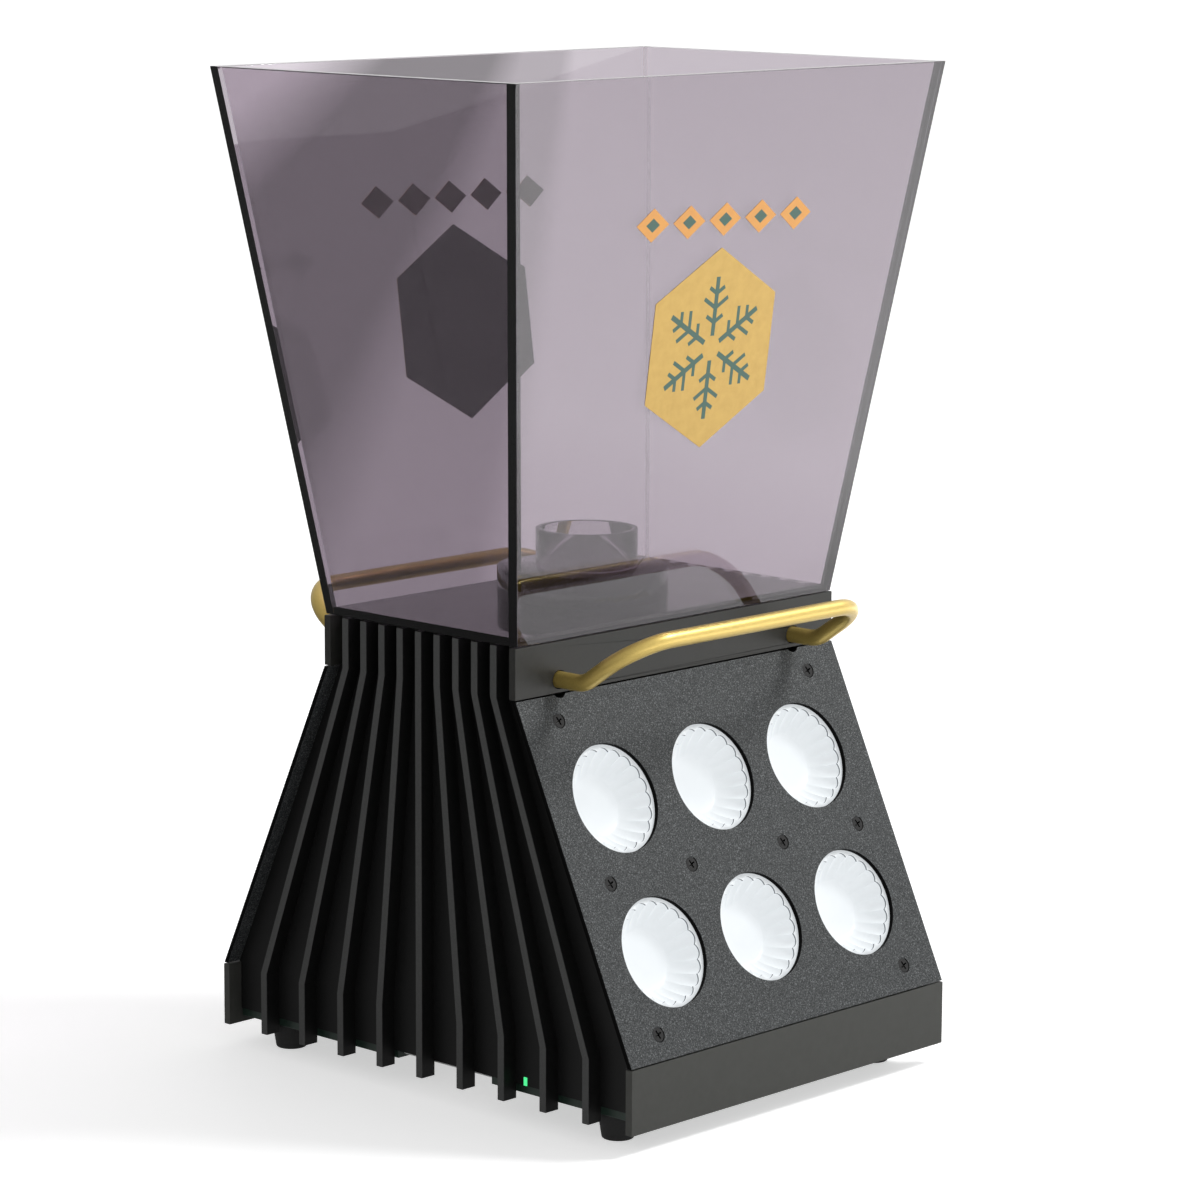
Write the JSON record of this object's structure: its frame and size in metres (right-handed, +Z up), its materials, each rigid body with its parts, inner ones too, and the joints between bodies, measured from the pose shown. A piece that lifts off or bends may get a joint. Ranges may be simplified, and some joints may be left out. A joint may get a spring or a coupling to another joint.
{
  "type": "bottle chiller on a lit base",
  "caption": "Flared open tank of smoked acrylic with a bottle seat, standing on a finned black base with round lamps in sloped panels and bent-rod handles.",
  "frame": {"origin": "on the floor, under the middle of the base, in the middle of the bounding box", "axes": "+Z up, +Y towards the rear panel, +X to the right as seen from the front"},
  "size_m": [0.3, 0.2804, 0.4914],
  "materials": {
    "case_black": "matte",
    "case_satin": "satin",
    "case_speckle": "speckled powder coat",
    "lamp_dish": "translucent white, lit",
    "smoked_acrylic": "smoked, polished",
    "handle_gold": "satin",
    "screw_black": "black oxide",
    "zinc": "zinc plated",
    "foot_rubber": "matte",
    "plate_dark": "satin",
    "foam_black": "matte foam",
    "board_white": "solder mask",
    "board_green": "solder mask",
    "pack_white": "shrink film",
    "switch_black": "fine texture",
    "sleeve_black": "braided sleeve",
    "indicator_green": "clear, lit",
    "decal_print": "printed film"
  },
  "bodies": {
    "base": {"side_cover_left": "case_black", "side_cover_right": "case_black", "front_top_band": "case_satin", "rear_top_band": "case_satin", "top_deck": "case_satin", "front_panel": "case_speckle", "rear_panel": "case_speckle", "front_skirt": "case_satin", "rear_skirt": "case_satin", "base_plate": "plate_dark", "tank_mat": "foam_black", "front_lamp_board": "board_white", "rear_lamp_board": "board_white", "front_cross_bar": "zinc", "rear_cross_bar": "zinc", "front_panel_screws": "screw_black", "rear_panel_screws": "screw_black", "front_handle": "handle_gold", "rear_handle": "handle_gold", "handle_nuts": "zinc", "feet": "foot_rubber", "foot_screws": "zinc", "foot_nuts": "zinc", "battery_pack": "pack_white", "battery_cradle": "zinc", "control_board": "board_green", "board_standoffs": "zinc", "indicator_lamp": "indicator_green", "switch_housing": "switch_black", "front_lamp_lead": "sleeve_black", "rear_lamp_lead": "sleeve_black", "switch_lead": "sleeve_black", "battery_lead": "sleeve_black", "front_lamp_1": "lamp_dish", "front_lamp_2": "lamp_dish", "front_lamp_3": "lamp_dish", "front_lamp_4": "lamp_dish", "front_lamp_5": "lamp_dish", "front_lamp_6": "lamp_dish", "rear_lamp_1": "lamp_dish", "rear_lamp_2": "lamp_dish", "rear_lamp_3": "lamp_dish", "rear_lamp_4": "lamp_dish", "rear_lamp_5": "lamp_dish", "rear_lamp_6": "lamp_dish"},
    "tank": {"tank_front_wall": "smoked_acrylic", "tank_rear_wall": "smoked_acrylic", "tank_left_wall": "smoked_acrylic", "tank_right_wall": "smoked_acrylic", "tank_floor": "smoked_acrylic", "pedestal_disc": "smoked_acrylic", "neck_collar": "smoked_acrylic", "front_decal": "decal_print", "rear_decal": "decal_print"},
    "rocker": {"switch_rocker": "switch_black"}
  },
  "joints": [
    {"name": "tank_lift", "type": "slide", "parent": "base", "child": "tank", "axis": [0, 0, 1], "range_m": [0, 0.06]},
    {"name": "power_rocker", "type": "hinge", "parent": "base", "child": "rocker", "pos_m": [0.068, 0.1352, 0.028], "axis": [0, 0, -1], "range_deg": [0, 16]}
  ]
}
